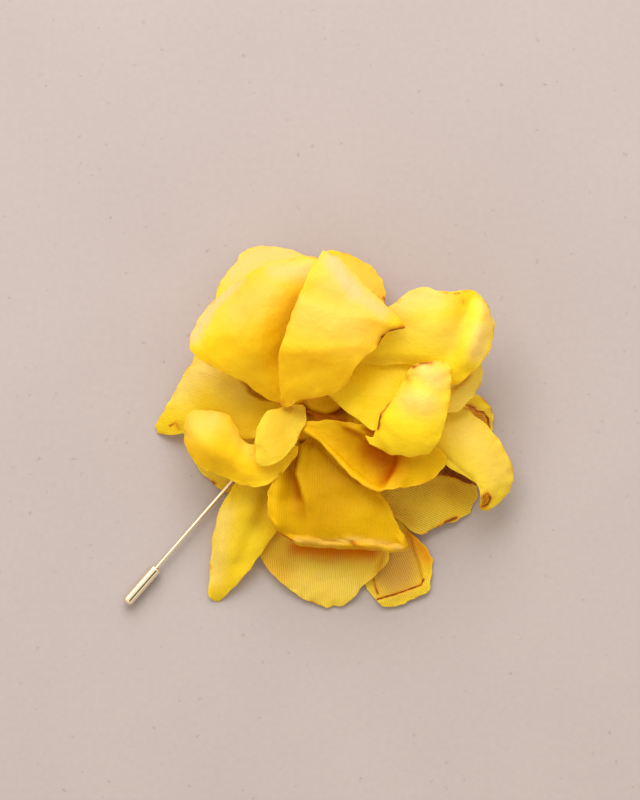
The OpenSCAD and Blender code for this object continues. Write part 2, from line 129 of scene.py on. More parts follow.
# Cloth of one petal. Its sections run across it, from its root to its tip:
# reach, right edge, left edge, height of the middle, tilt, crown.
# Lines that shape it hold width, rise and then their stops: folds lie in the petal's own reach
# and side, the others in the brooch's frame. Dents are soft, creases sharp, lips stand up only
# to the left of their line, and rolls curl the rim near their stops.
# Lines that colour it hold width, strength and stops: painted highlight and sheen in pale yellow,
# painted shade in darker yellow, bares thin and tan, burns singed brown; shades paint shade, and
# the one-sided burns paint shadow in brown, only on the left of their line.
def sewPetal(name, look, dye):
    long, wide = look.get("cells", (44, 38))
    bpy.ops.mesh.primitive_grid_add(x_subdivisions=long, y_subdivisions=wide, size=2)
    petal = bpy.context.object
    petal.name = name + "_petal"
    petal.data.name = petal.name
    count = len(petal.data.vertices)
    flat = np.empty(count * 3)
    petal.data.vertices.foreach_get("co", flat)
    flat = flat.reshape(-1, 3)

    # More cells at the rim, where the cloth curls
    along = (flat[:, 0] + 1) / 2
    along = 0.7 * along + 0.3 * np.sin(along * math.pi / 2)
    side = 0.6 * flat[:, 1] + 0.4 * np.sin(flat[:, 1] * math.pi / 2)
    rows = np.array(look["sections"], dtype=float)
    at = readRows(rows, along * (len(rows) - 1))
    reach = at[:, 0]
    across = (at[:, 1] * (1 - side) + at[:, 2] * (1 + side)) / 2
    height = at[:, 3] + at[:, 4] * side / 2 - at[:, 5] * side * side
    own = np.column_stack([reach, across])

    # The rim runs up the right edge, over the tip and down the left edge
    def edgeOf(axis, end, order):
        edge = np.abs(flat[:, axis] - end) < 1e-4
        return own[edge][np.argsort(order * flat[edge][:, 1 - axis])]

    rim = np.vstack([edgeOf(1, -1, 1), edgeOf(0, 1, 1)[1:-1], edgeOf(1, 1, -1)])
    inside = offLine(own, rim)

    heading = math.radians(look["heading"])
    ahead = (math.cos(heading), math.sin(heading))
    turn = np.array([ahead, (-ahead[1], ahead[0])])

    # Uneven edge, as cut by hand and shrunk by heat
    seed = look["seed"]
    shift = np.column_stack([ripples(own, cloth["cutWave"], seed + step) for step in (1, 2)])
    own = own + cloth["ragged"] * shift * np.exp(-inside / cloth["cutReach"])[:, None]
    place = own @ turn + look["root"]

    for wideness, rise, *stops in look.get("folds", ()):
        height = height + rise * np.exp(-(offLine(own, stops) / wideness) ** 2)
    for wideness, rise, *stops in look.get("dents", ()):
        height = height + rise * np.exp(-(offLine(place, stops) / wideness) ** 2)
    for wideness, rise, *stops in look.get("creases", ()):
        gap = offLine(place, stops)
        height = height + rise * np.exp(-np.sqrt(gap ** 2 + 0.04) / wideness * 1.3)
    for wideness, rise, *stops in look.get("lips", ()):
        gap = offLine(place, stops)
        stands = leftOf(place, stops, cloth["lipEdge"])
        height = height + rise * np.exp(-(gap / wideness) ** 2) * stands

    # Gathers at the root, broad soft undulation, and small waves along the rim
    pleats, pleatRise = look.get("gathers", (4, 0.12))
    height = height + pleatRise * np.cos(pleats * math.pi * side) * np.exp(-along * 5)
    height = height + look.get("swell", 0.25) * ripples(own, cloth["swellWave"], seed)
    ruffle = ripples(own, cloth["ruffleWave"], seed + 3) * np.exp(-inside / cloth["ruffleReach"])
    height = height + look.get("ruffle", 0.25) * ruffle
    uneven = 1 + 0.3 * ripples(own, cloth["rollWave"], seed + 4)
    for wideness, rise, *stops in look.get("rolls", ()):
        rolled = np.clip(1 - np.abs(inside / (wideness * uneven) - 0.5) * 2, 0, 1)
        rolled = np.sin(rolled * math.pi / 2) ** 0.7 * uneven
        height = height + rise * rolled * np.exp(-(offLine(place, stops) / cloth["rollReach"]) ** 4)

    height = np.maximum(height - cloth["underTop"], cloth["wall"] * 0.6)
    moved = np.column_stack([place, height]) * mm
    petal.data.vertices.foreach_set("co", moved.ravel())

    # The weave follows the cloth, so the UV map holds its flat size
    corner = np.empty(len(petal.data.loops), dtype=int)
    petal.data.loops.foreach_get("vertex_index", corner)
    spread = np.column_stack([across, reach]) / cloth["uvSpan"] + 0.5
    petal.data.uv_layers.active.data.foreach_set("uv", spread[corner].ravel())

    def paint(label, lines, soft, oneSided=()):
        value = np.zeros(count)
        for wideness, strength, *stops in lines:
            value = np.maximum(value, strength * soft(offLine(place, stops) / wideness))
        for wideness, strength, *stops in oneSided:
            beside = soft(offLine(place, stops) / wideness)
            beside = beside * leftOf(place, stops, cloth["shadeEdge"])
            value = np.maximum(value, strength * beside)
        layer = petal.data.attributes.new(name=label, type="FLOAT", domain="POINT")
        layer.data.foreach_set("value", value)

    def fading(gap):
        return np.exp(-gap ** 2)

    # Painted highlight, painted shade round a line or on one side of it, thin places, and singed
    # brown with painted shadow on one side
    paint("paintedHighlight", look.get("paintedHighlights", ()), fading)
    paint("deep", look.get("paintedShades", ()), fading, look.get("shades", ()))
    paint("bare", look.get("bares", ()), lambda gap: 1 / (1 + gap ** 6))
    paint("burn", look.get("burns", ()), fading, look.get("paintedShadows", ()))
    sealed = petal.data.attributes.new(name="rim", type="FLOAT", domain="POINT")
    sealed.data.foreach_set("value", fading(inside / cloth["rimWidth"]))
    petal.data.update()

    selectOnly(petal)
    wall = petal.modifiers.new("wall", "SOLIDIFY")
    wall.thickness = cloth["wall"] * mm
    wall.offset = 0
    rounding = petal.modifiers.new("round", "SUBSURF")
    rounding.levels = 1
    rounding.render_levels = 1
    applyModifiers(petal)
    bpy.ops.object.shade_smooth()
    petal.data.materials.clear()
    petal.data.materials.append(chiffons[dye])

    # The cut before it was sewn, from the same sections
    widths = rows[:, 2] - rows[:, 1]
    steps = np.hypot(np.diff(rows[:, 0]), np.diff(rows[:, 3]))
    area = float(np.sum(steps * (widths[1:] + widths[:-1]) / 2))
    cut = [max(float(extent), cloth["leastCut"]) for extent in (widths.max(), steps.sum())]
    area = max(area, cloth["leastFill"] * cut[0] * cut[1])
    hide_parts("petal_" + name)
    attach(petal, "flower")


# Materials

pattern = {
    "waveLength": 0.31416,  # length of one wave of the wave texture at scale 1
    "grain": 1500,          # scales of the noises, by the metre
    "singe": 260,
    "broken": 620,
    "crumple": 170,
    "smear": 400,           # on the gold
    "crumpleRise": 0.0011,  # metres
    "threadRise": 0.0002,
}


def newMaterial(name):
    material = bpy.data.materials.new(name)
    material.use_nodes = True
    material.node_tree.nodes.clear()
    return material, material.node_tree


# Gives each named socket of a node its value, or joins it to the output that feeds it
def feed(tree, node, sockets):
    for label, value in sockets.items():
        if isinstance(value, bpy.types.NodeSocket):
            tree.links.new(value, node.inputs[label])
        else:
            node.inputs[label].default_value = value
    return node.outputs


def addNode(tree, kind, sockets):
    return feed(tree, tree.nodes.new(kind), sockets)


def addNoise(tree, scale, detail, distortion=0):
    place = tree.nodes.new("ShaderNodeTexCoord").outputs["Object"]
    return addNode(tree, "ShaderNodeTexNoise", {
        "Vector": place, "Scale": scale, "Detail": detail, "Distortion": distortion})["Fac"]


def mixColours(tree, amount, a, b, how="MIX"):
    node = tree.nodes.new("ShaderNodeMix")
    node.data_type = "RGBA"
    node.blend_type = how
    a, b = ((*colour, 1) if isinstance(colour, tuple) else colour for colour in (a, b))
    return feed(tree, node, {0: amount, 6: a, 7: b})[2]


def chiffon(name, look):
    material, tree = newMaterial(name)

    def attribute(label):
        node = tree.nodes.new("ShaderNodeAttribute")
        node.attribute_name = label
        return node.outputs["Fac"]

    def maths(operation, a, b):
        node = tree.nodes.new("ShaderNodeMath")
        node.operation = operation
        return feed(tree, node, {0: a, 1: b})[0]

    # Threads one way, a little uneven
    def threads(direction, pitch):
        wave = tree.nodes.new("ShaderNodeTexWave")
        wave.bands_direction = direction
        flatPlace = tree.nodes.new("ShaderNodeTexCoord").outputs["UV"]
        scale = pattern["waveLength"] * cloth["uvSpan"] / pitch
        return feed(tree, wave, {"Vector": flatPlace, "Scale": scale, "Distortion": 2.2,
                                 "Detail": 2, "Detail Scale": 0.25})["Fac"]

    def noise(scale, detail):
        return addNoise(tree, scale, detail)

    def clamped(value):
        return addNode(tree, "ShaderNodeClamp", {"Value": value})[0]

    warp = threads("X", look["pitch"])
    weft = threads("Y", look["pitch"] * 0.8)
    weave = maths("ADD", maths("MULTIPLY", warp, 0.75), maths("MULTIPLY", weft, 0.25))
    cloud = noise(look["cloudScale"], 4)
    grain = noise(pattern["grain"], 2)
    rim = attribute("rim")

    # Plain dye in random darker patches, then painted highlight and sheen, the thin places, painted
    # shade, the threads, and the singed places with painted shadow
    patches = clamped(maths("ADD", maths("MULTIPLY", maths("SUBTRACT", cloud, 0.5), 2.0), 0.5))
    shade = mixColours(tree, patches, look["deep"], look["bright"])
    shade = mixColours(tree, attribute("paintedHighlight"), shade, look["paintedHighlight"])
    shade = mixColours(tree, attribute("bare"), shade, look["tan"])
    shade = mixColours(tree, attribute("deep"), shade, look["fold"])
    loose = maths("ADD", maths("ADD", maths("MULTIPLY", patches, 0.8), 0.3), attribute("bare"))
    woven = clamped(maths("MULTIPLY", maths("SUBTRACT", weave, 0.3), 1.7))
    strength = maths("MULTIPLY", maths("ADD", grain, 0.5), look["weaveShade"])
    woven = maths("MULTIPLY", woven, strength)
    woven = clamped(maths("MULTIPLY", woven, loose))
    shade = mixColours(tree, woven, shade, look["gap"], "MULTIPLY")
    shade = mixColours(tree, maths("MULTIPLY", rim, look["rimShade"]), shade, look["rim"])
    patchy = maths("MULTIPLY", maths("SUBTRACT", noise(pattern["singe"], 3), 0.53), 9)
    singed = maths("MULTIPLY", maths("MULTIPLY", clamped(patchy), rim), look["singe"])
    broken = maths("SUBTRACT", noise(pattern["broken"], 3), 0.36)
    broken = clamped(maths("MULTIPLY", broken, 3.4))
    burn = maths("MULTIPLY", attribute("burn"), maths("ADD", maths("MULTIPLY", broken, 0.5), 0.5))
    burn = maths("MAXIMUM", burn, singed)
    scorched = clamped(maths("MULTIPLY", burn, 1.8))
    charred = clamped(maths("MULTIPLY", maths("SUBTRACT", burn, 0.35), 1.8))
    shade = mixColours(tree, scorched, shade, look["scorch"])
    shade = mixColours(tree, charred, shade, look["burn"])

    # Small crumples under the threads
    crumple = addNode(tree, "ShaderNodeBump", {
        "Strength": look["crumple"], "Distance": pattern["crumpleRise"],
        "Height": noise(pattern["crumple"], 5)})["Normal"]
    bump = addNode(tree, "ShaderNodeBump", {
        "Strength": look["bump"], "Distance": pattern["threadRise"],
        "Height": maths("ADD", weave, maths("MULTIPLY", grain, 0.5)), "Normal": crumple})["Normal"]

    # Less gloss where shade is painted
    lit = maths("SUBTRACT", 1, maths("MULTIPLY", attribute("deep"), 0.9))
    face = addNode(tree, "ShaderNodeBsdfPrincipled", {
        "Base Color": shade, "Roughness": look["roughness"], "Normal": bump,
        "Specular IOR Level": maths("MULTIPLY", lit, look["gloss"])})[0]
    glow = addNode(tree, "ShaderNodeBsdfTranslucent", {"Color": shade, "Normal": bump})[0]
    body = addNode(tree, "ShaderNodeMixShader", {0: look["glow"], 1: face, 2: glow})[0]

    # Light passes between the threads, more so where the cloth is single
    clear = addNode(tree, "ShaderNodeBsdfTransparent", {"Color": (*look["through"], 1)})[0]
    holes = maths("ADD", look["clear"], maths("MULTIPLY", attribute("bare"), look["bareClear"]))
    holes = maths("MULTIPLY", holes, maths("SUBTRACT", 1.25, maths("MULTIPLY", weave, 0.5)))
    holes = maths("MULTIPLY", holes, maths("SUBTRACT", 1, maths("MULTIPLY", rim, 0.7)))
    holes = maths("MULTIPLY", holes, maths("SUBTRACT", 1, scorched))
    sheet = addNode(tree, "ShaderNodeMixShader", {0: holes, 1: body, 2: clear})[0]
    addNode(tree, "ShaderNodeOutputMaterial", {"Surface": sheet})
    return material


# Colours of one cloth. Its palest colour is painted highlight and sheen, and its deep orange-brown
# is painted shade.
yellowLook = {
    "bright": (0.99, 0.76, 0.018),
    "deep": (0.98, 0.71, 0.002),
    "gap": (0.78, 0.60, 0.32),
    "weaveShade": 0.14,
    "pitch": 0.5,
    "paintedHighlight": (0.92, 0.69, 0.39),
    "tan": (0.86, 0.60, 0.07),
    "fold": (0.46, 0.12, 0.001),
    "rim": (0.98, 0.76, 0.04),
    "rimShade": 0.4,
    "scorch": (0.80, 0.32, 0.01),
    "burn": (0.24, 0.06, 0.012),
    "singe": 0.3,
    "cloudScale": 130,
    "crumple": 0.85,
    "bump": 0.15,
    "roughness": 0.5,
    "gloss": 0.3,
    "glow": 0.48,
    "through": (1.0, 0.82, 0.2),
    "clear": 0.04,
    "bareClear": 0.3,
}
# A lighter copy of the yellow: painted light
sunnyLook = dict(yellowLook, bright=(0.99, 0.85, 0.03), deep=(0.99, 0.78, 0.006),
                 paintedHighlight=(0.97, 0.79, 0.36))
wovenLook = dict(sunnyLook, bright=(0.99, 0.83, 0.03), deep=(0.99, 0.76, 0.01),
                 paintedHighlight=(0.98, 0.83, 0.36), weaveShade=0.38, bump=0.25, clear=0.05)
paleLook = dict(wovenLook, bright=(0.99, 0.86, 0.08), deep=(0.99, 0.78, 0.03), glow=0.4, clear=0.02)
# A darker copy of the yellow: painted shade for the trough, which lies under the petals above
shadedYellowLook = dict(yellowLook, bright=(0.94, 0.67, 0.006), deep=(0.87, 0.58, 0.002), gloss=0.16,
                  fold=(0.56, 0.13, 0.001))
shadyLook = dict(shadedYellowLook, bright=(0.98, 0.66, 0.006), fold=(0.30, 0.045, 0.001))
# Ribbed cloth whose darker yellow is painted shade, for the bottom petal that lies under the petals
# above
ribbedShadedLook = dict(yellowLook, bright=(0.88, 0.62, 0.006), deep=(0.82, 0.53, 0.002), weaveShade=0.34,
                  bump=0.3, pitch=0.56, gloss=0.12)
sheerLook = dict(wovenLook, bright=(0.99, 0.84, 0.12), deep=(0.99, 0.73, 0.02),
                 fold=(0.80, 0.25, 0.001), weaveShade=0.9, glow=0.34, clear=0.08, singe=0.5)
oliveLook = dict(sheerLook, bright=(0.99, 0.82, 0.10), deep=(0.99, 0.72, 0.03),
                 gap=(0.66, 0.50, 0.3), fold=(0.66, 0.22, 0.002), weaveShade=1.0, gloss=0.2)
gauzeLook = dict(sheerLook, bright=(0.99, 0.82, 0.05), deep=(0.99, 0.72, 0.01),
                 tan=(0.98, 0.66, 0.13), fold=(0.88, 0.36, 0.002), gap=(0.62, 0.44, 0.3),
                 through=(1.0, 0.86, 0.4), weaveShade=0.5, clear=0.04, bareClear=0.25)

looks = {
    "yellow": yellowLook, "sunny": sunnyLook, "woven": wovenLook, "pale": paleLook,
    "shaded_yellow": shadedYellowLook, "shady": shadyLook, "ribbed_shaded": ribbedShadedLook, "sheer": sheerLook,
    "olive": oliveLook, "gauze": gauzeLook,
}
chiffons = {dye: chiffon(dye + "_chiffon", look) for dye, look in looks.items()}
print("cloth dyed")


# Petals above the heart

topFront = {
    "root": (-4.3, 4.4),
    "heading": 73.6,
    "seed": 11,
    "sections": (
        (1.2, 2.2, 4, 15.6, 0, 0), (-0.2, 2.8, 4.2, 16.8, 0, 0),
        (-0.6, 3.1, 4.3, 18, 0, 0), (0.5, 2, 4.7, 18.9, 0, 0.1),
        (1.8, 0.4, 5.3, 19.9, 0.6, 0.3), (3.8, -3.9, 6.1, 21.8, 1, 0.6),
        (6.2, -7.4, 6.9, 23.7, 1, 1), (10, -9.2, 8.1, 26.4, 0.6, 1.4),
        (13.6, -10, 8.3, 28.4, 0, 1.6), (17.5, -12.5, 8.2, 29, 0, 1.8),
        (21, -13.9, 8, 29.1, 0, 1.9), (23.1, -15.1, 7.8, 29.1, 0, 1.9),
        (24.8, -18.4, 7.6, 28.9, -0.3, 1.9), (27.4, -14.2, 7.3, 28.5, 0, 1.7),
        (30.4, -8.7, 6.8, 27.7, 0, 1.3), (33.5, -2.9, 6.3, 26.4, 0, 0.8),
        (36.4, 2, 5.2, 25, 0, 0.2),
    ),
    "creases": (
        (2.6, 0.9, (-9.7, 17.6), (-0.8, 17.6), (9, 18.6)),
        (2.2, -0.5, (-5, 12.5), (2, 13.5)),
    ),
    "dents": (
        (1.5, -0.5, (-1.6, 14), (0, 9.5)),
        (4, 0.5, (-4, 28), (6, 24), (14, 23)),
        (2.5, -0.4, (0, 31), (5, 28.5)),
    ),
    "paintedHighlights": (
        (2.8, 0.85, (3.4, 38.4), (5.6, 34.6), (8.6, 31)),
        (2.4, 0.65, (8.6, 31), (12, 28.6), (14.6, 27)),
        (5, 0.35, (3, 33), (9, 29)),
        (6, 0.3, (-2, 26), (8, 24)),
    ),
    "paintedShades": (
        (1.0, 0.6, (14.4, 19.4), (15.6, 21.2), (19.6, 22.6)),
    ),
    "burns": (
        (0.5, 1.2, (14, 18.8), (14.8, 20.8), (16.6, 22.2), (19.8, 22.8)),
    ),
    "gathers": (0, 0),
    "cells": (60, 46),
}
sewPetal("top_front", topFront, "yellow")

topLeft = {
    "root": (-6.7, 5.1),
    "heading": 112.6,
    "seed": 23,
    "sections": (
        (-0.6, -2.8, -1, 5.6, 0, 0),
        (-0.4, -2.8, -1, 9.4, 0, 0),
        (0, -3, 0.4, 12.8, 0, 0),
        (4, -5.5, 4.8, 15.8, 0, 0.8),
        (9, -7.5, 7.7, 20, 0.7, 1.4),
        (14, -10, 12.4, 23.5, 1.4, 2.2),
        (19, -13.5, 16, 24.6, 1.4, 2.8),
        (22, -16, 16.2, 24.4, 0.8, 2.9),
        (25, -18, 13.5, 23.6, 0, 2.7),
        (28, -19.5, 9.4, 22, 0, 2.2),
        (30, -17.5, 3.8, 20.4, 0, 1.4),
        (31.2, -12.5, -0.5, 19, 0, 0.6),
        (32, -9.5, -5, 18, 0, 0.2),
    ),
    "dents": (
        (4.6, -2.6, (-2.6, 31), (-5.2, 24), (-8.6, 15)),
        (2.2, -0.4, (-22, 18.5), (-15, 13)),
        (1.4, 0.5, (-22.5, 30.5), (-19.5, 32.5), (-16.5, 35)),
    ),
    "creases": (
        (1.2, -0.25, (-13.2, 29.5), (-18.3, 19)),
        (1.0, 0.3, (-20.1, 31.8), (-26.4, 20.2)),
    ),
    "paintedHighlights": (
        (1.6, 0.85, (-18.4, 34.2), (-24.3, 28.6), (-29, 20.7)),
        (2.8, 0.6, (-10, 36.2), (-6, 36.2), (-2, 36.4)),
        (5, 0.25, (-19, 28), (-12, 32)),
    ),
    "paintedShades": (
        (8, 0.12, (-17, 30), (-14, 24)),
        (2.6, 0.42, (-4.6, 28.6), (-6.4, 23.6), (-8.2, 17.6)),
        (1.2, 0.5, (-5.4, 26.4), (-7.6, 20)),
    ),
    "gathers": (4, 0.2),
    "cells": (60, 50),
}
sewPetal("top_left", topLeft, "yellow")

topBackLeft = {
    "root": (-7.8, 9.7),
    "heading": 101,
    "seed": 31,
    "sections": (
        (0, -3.5, 3.5, 6.3, 0, 0),
        (7, -7, 7.5, 9, 0, 0.5),
        (15, -9.6, 11, 10.4, 0, 1),
        (21, -11, 12.3, 10.2, 0, 1.5),
        (25, -11.6, 11.2, 8.8, 0, 1.5),
        (28, -11, 8.5, 6.6, 0, 1.5),
        (30.3, -8, 6, 4.2, 0, 1),
        (32, -4, 4.2, 2.3, 0, 0.5),
        (32.9, -1, 2.6, 1.1, 0, 0),
    ),
    "paintedHighlights": (
        (4, 0.6, (-20, 36), (-14, 40), (-7, 41)),
    ),
}
sewPetal("top_back_left", topBackLeft, "yellow")

topBackRight = {
    "root": (2.7, 10.9),
    "heading": 75.5,
    "seed": 37,
    "sections": (
        (-0.4, -2, 2, 5.9, 0, 0),
        (0.3, -2.8, 2.8, 7.8, 0, 0),
        (7, -6, 6.5, 10.5, 0, 0.5),
        (14, -8, 8.5, 12, 0, 1),
        (20, -8, 9, 12, 0, 1.5),
        (24, -6.9, 9, 10.8, 0, 1.5),
        (26.7, -4.8, 8.9, 8.8, 0, 1.3),
        (28.3, -1.6, 8.6, 6.4, 0, 1),
        (29.3, 2.5, 7, 4.4, 0, 0.3),
    ),
    "creases": (
        (0.8, 0.7, (8.7, 34.1), (12, 32), (15.2, 29.3)),
    ),
    "paintedHighlights": (
        (6, 0.2, (8, 36), (13, 32)),
    ),
    "paintedShades": (
        (0.8, 0.5, (10, 32), (13, 30), (15, 28)),
        (6, 0.1, (6, 37), (13, 32)),
    ),
    "burns": (
        (0.4, 0.9, (15, 29.9), (15.7, 28.8)),
    ),
}
sewPetal("top_back_right", topBackRight, "yellow")

# Petals on the right

upperRight = {
    "root": (5, 11.8),
    "heading": 22.8,
    "seed": 41,
    "sections": (
        (0, -1, 3, 16.6, 0, 0),
        (5, 0.8, 7, 19, 1, 0.7),
        (10, -1.4, 9.5, 21.3, 2, 1.2),
        (16, -3.8, 10.3, 23.4, 1.6, 1.3),
        (20, -7.5, 11.4, 24.2, 2.4, 1.6),
        (23.5, -12.3, 11.8, 24.8, 3, 2.4),
        (27, -11.6, 10.8, 25.4, 2, 2.6),
        (30, -10.5, 8.4, 25.6, 2, 2.5),
        (33, -9, 7.7, 24.5, 1, 2.2),
        (35.5, -6.4, 6.7, 22.8, 0, 1.8),
        (37.2, -3.8, 4.6, 20.8, 0, 1),
        (37.8, -1.6, 1.4, 19.6, 0, 0.3),
    ),
    "dents": (
        (2.6, -1.5, (34.6, 28.5), (32.6, 23), (30.1, 16.5)),
        (2.0, 0.7, (38.4, 27.5), (37.1, 22.5), (34.3, 15.5)),
        (3.0, 0.7, (20.1, 27.2), (25.9, 23.5)),
    ),
    "creases": (
        (0.7, -0.4, (35.2, 29.6), (33.8, 25)),
        (0.7, 0.35, (31.4, 29.4), (33.6, 27.4), (34.4, 24)),
    ),
    "paintedHighlights": (
        (5, 0.6, (18.9, 29.7), (22.2, 31), (25.9, 31.1)),
        (5, 0.25, (22, 24), (30, 22)),
        (2.4, 0.7, (37.8, 22.5), (36.8, 17.4)),
        (2.6, 0.6, (39, 28), (40.5, 24)),
    ),
    "paintedShades": (
        (5, 0.1, (18.9, 29.7), (24, 31)),
        (1.4, 0.12, (33.4, 26), (31.2, 19)),
        (1.4, 0.22, (12, 15.5), (22, 15.2)),
    ),
    "burns": (
        (0.3, 0.6, (28.4, 31.2), (29.8, 31)),
        (0.25, 0.6, (31.4, 30.8), (32.6, 31)),
        (0.25, 0.5, (33.4, 29.4), (33.6, 28.6)),
    ),
    "cells": (56, 48),
}
sewPetal("upper_right", upperRight, "sunny")

innerRight = {
    "root": (0.8, 11.3),
    "heading": -29.7,
    "seed": 47,
    "sections": (
        (-0.2, -2.9, -1.3, 5.6, 0, 0),
        (-0.2, -2.9, -1.3, 9.4, 0, 0),
        (0.2, -2.9, 1.6, 12.4, 0, 0),
        (4, -2.9, 7, 15, 0, 0.7),
        (8.3, -3.9, 10, 17.4, 0, 1),
        (13, -4.4, 13.5, 18.8, 0, 1.2),
        (16, -4.6, 14.5, 19.2, 0, 1),
        (18, -3.8, 14, 19, 0, 0.9),
        (19.5, -0.5, 11, 18.6, 0, 0.5),
    ),
    "swell": 0.2,
}
sewPetal("inner_right", innerRight, "sunny")

rightCup = {
    "root": (9.6, -2.6),
    "heading": 28.5,
    "seed": 53,
    "sections": (
        (1.3, -2.2, -0.2, 18, 0, 0),
        (3, -4.6, -1.2, 19.2, 0, 0.3),
        (5, -7.2, 0.6, 21.4, 0, 1.2),
        (7.5, -8.9, 3, 23.4, 0, 2.4),
        (10, -10, 4, 24.8, 0, 3),
        (12.5, -10.8, 5.1, 25.6, 0, 3.4),
        (15, -9.8, 6.8, 26, 0, 3),
        (17.5, -7.9, 8.4, 26.1, 0, 2.2),
        (20, -5.2, 8.9, 25.8, 0, 1.4),
        (22.2, -2.5, 8, 25, 0, 1),
        (24.2, 0.8, 7, 24.2, 0, 0.6),
        (26.2, 3.8, 5.7, 23.4, 0, 0.2),
    ),
    "dents": (
        (1.3, -0.8, (19.6, 10.6), (22, 11.4)),
        (2.6, 1.1, (24.8, 13.2), (26.4, 12.4)),
        (2.6, 0.9, (22.4, 6.6), (24.4, 6)),
    ),
    "creases": (
        (0.5, -0.5, (17.4, 7), (19, 5.8)),
        (0.8, -0.4, (15.2, 0.2), (17.2, -3.4)),
    ),
    "paintedHighlights": (
        (3.4, 0.7, (24.8, 13.2), (27.2, 11.4)),
        (3.4, 0.6, (21.4, 6.4), (25, 5.6)),
    ),
    "paintedShades": (
        (0.8, 0.35, (20.6, 11.4), (21, 10.8)),
    ),
    "burns": (
        (0.24, 0.9, (17.5, 7.3), (16.2, 5), (14.4, 2.7)),
        (0.36, 1.0, (14.6, 2.9), (14.1, 1.4), (14.1, -0.4)),
        (0.5, 0.8, (22.1, 13.9), (24, 14.8), (26.2, 14.8)),
    ),
    "cells": (56, 50),
    "gathers": (0, 0),
}
sewPetal("right_cup", rightCup, "sunny")

rightTuck = {
    "root": (10.8, 6.2),
    "heading": 12.1,
    "seed": 59,
    "sections": (
        (-0.3, -1.6, 1.6, 9, 0, 0),
        (-0.1, -1.8, 1.8, 11.4, 0, 0),
        (0.7, -2.5, 2.5, 13.1, 0, 0),
        (6, -4, 4, 14.2, 0, 0.3),
        (12, -5.5, 5, 15, 0, 0.5),
        (17, -6.8, 5.5, 15.4, 0, 0.8),
        (21, -7, 5.5, 15.4, 0, 0.8),
        (24, -4.8, 5.5, 15, 0, 0.8),
        (26.5, -2.8, 5, 14.4, 0, 0.6),
        (28.1, 0.4, 3, 13.8, 0, 0.2),
    ),
    "creases": (
        (0.7, -0.9, (31.3, 9), (33.6, 10.9), (35.7, 12.7)),
        (0.9, 0.5, (31, 7.2), (35, 10)),
    ),
    "paintedHighlights": (
        (5, 0.3, (33, 7), (37, 11)),
    ),
    "paintedShades": (
        (0.6, 0.5, (31.3, 8.6), (33.6, 10.4), (35, 11.8)),
    ),
    "cells": (40, 30),
}
sewPetal("right_tuck", rightTuck, "pale")

rightCurl = {
    "root": (7.8, 4.4),
    "heading": -2.9,
    "seed": 61,
    "sections": (
        (0, -2.5, 2.5, 7, 0, 0),
        (8, -3, 3, 8.4, 0, 0.2),
        (16, -4, 4, 8.4, 0, 0.3),
        (22, -5, 5, 7.6, 0, 0.4),
        (26, -5.5, 5.2, 5.8, 0, 0.5),
        (29, -5.5, 4.4, 4, 0, 0.5),
        (31.3, -5, 3.2, 2.4, 0, 0.3),
        (33, -3.4, -0.2, 1.1, 0, 0),
    ),
    "lips": (
        (2, 1.2, (39.7, -0.6), (39.5, 1.9), (38.4, 3.4), (36.4, 3.8), (34.6, 4.6)),
    ),
    "burns": (
        (0.28, 1.5, (39.7, -0.6), (39.4, 1.9), (38.3, 3.3), (36.4, 3.7)),
        (0.7, 1.0, (34.4, 4.9), (36.2, 4.2)),
    ),
    "bares": (
        (2.6, 1.0, (36, 1), (37, 0.6)),
    ),
    "shades": (
        (2.0, 0.7, (39.7, -0.6), (39.4, 1.9), (38.3, 3.3), (36.4, 3.7)),
    ),
    "cells": (56, 44),
}
sewPetal("right_curl", rightCurl, "gauze")

rightLower = {
    "root": (8.9, 0.7),
    "heading": -20.7,
    "seed": 67,
    "sections": (
        (-1.9, -1.8, 0.4, 5.8, 0, 0),
        (-1.9, -1.8, 0.6, 7.8, 0, 0),
        (-1.1, -2.1, 1.6, 9.4, 0, 0),
        (1, -2.5, 2.6, 10, 0, 0),
        (6, -3, 4, 10.3, 0, 0.5),
        (12, -3, 6.5, 11.3, -0.6, 0.8),
        (17, -1.6, 9.3, 12.2, -1.6, 1.2),
        (21.5, -1.6, 11.9, 12.8, -2.4, 1.6),
        (25, -2.1, 11.6, 13.1, -2.6, 1.8),
        (29, -2.8, 10.1, 12.9, -2.2, 1.8),
        (32, -4.1, 8.3, 12.1, -1.6, 1.2),
        (33.8, -8.4, 7, 11.3, -1, 0.9),
        (35.4, -8.4, 5.6, 10.3, -0.6, 0.8),
        (37.2, -5.8, 3.6, 9, 0, 0.6),
        (38.9, -2, 0.2, 7.6, 0, 0.2),
    ),
    "creases": (
        (0.5, -0.5, (28.2, -5.6), (32.6, -9.2), (36.8, -12.9)),
    ),
    "swell": 0.12,
    "paintedShades": (
        (0.3, 0.3, (28.2, -5.7), (32.6, -9.3), (36.8, -13)),
        (1.0, 0.85, (38, -18.4), (38.8, -16.4)),
    ),
    "burns": (
        (0.3, 1.3, (36.9, -19), (39.2, -18), (39.9, -16.6), (39.2, -15.4), (37.8, -16.8)),
    ),
    "paintedHighlights": (
        (6, 0.35, (35, -1), (42, -10)),
    ),
    "gathers": (0, 0),
    "cells": (60, 42),
}
sewPetal("right_lower", rightLower, "sunny")

# Petals at the middle and the bottom

